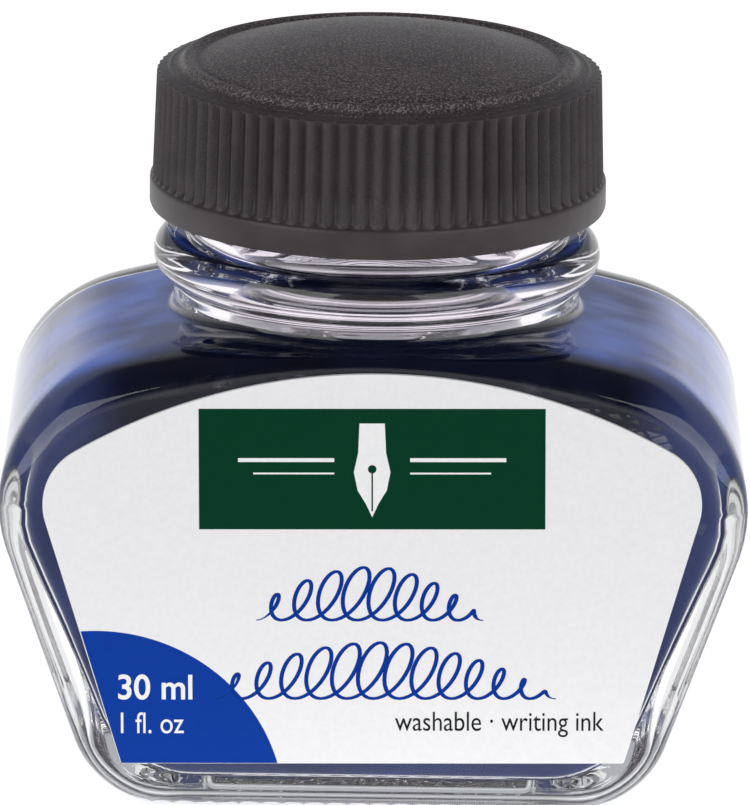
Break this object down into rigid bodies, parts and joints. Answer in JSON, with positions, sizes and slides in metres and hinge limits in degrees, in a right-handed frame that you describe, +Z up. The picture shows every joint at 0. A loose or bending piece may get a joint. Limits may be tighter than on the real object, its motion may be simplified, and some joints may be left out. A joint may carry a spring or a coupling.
{
  "type": "ink bottle",
  "caption": "Flat-fronted glass ink bottle with slanted sides, arched shoulder, ribbed screw cap with sealing wad, ink fill and front and back labels.",
  "frame": {"origin": "middle of the base, on the surface that the bottle stands on", "axes": "+Z up along the neck, +X to the right seen from the front, the front label faces -Y"},
  "size_m": [0.0594, 0.0378, 0.0598],
  "materials": {
    "clear_glass": "clear moulded flint glass, glossy",
    "ink": "dark royal blue liquid, nearly opaque",
    "black_plastic": "black moulded polypropylene with a fine spark-eroded grain",
    "liner_foam": "off-white expanded polyethylene wad",
    "label_paper": "smooth coated label with flat printed colour"
  },
  "bodies": {
    "bottle": {"glass_bottle": "clear_glass", "ink": "ink", "front_label": "label_paper", "back_label": "label_paper"},
    "liner": {"cap_liner": "liner_foam"},
    "cap": {"screw_cap": "black_plastic"}
  },
  "joints": [
    {"name": "cap_lift", "type": "slide", "parent": "bottle", "child": "liner", "axis": [0, 0, 1], "range_m": [0, 0.0127]},
    {"name": "cap_turn", "type": "hinge", "parent": "liner", "child": "cap", "pos_m": [0, 0, 0.05], "axis": [0, 0, 1], "range_deg": [0, 1080]}
  ],
  "couplings": [
    {"joint": "cap_lift", "follows": "cap_turn", "m_per_rad": 0.00067375}
  ]
}
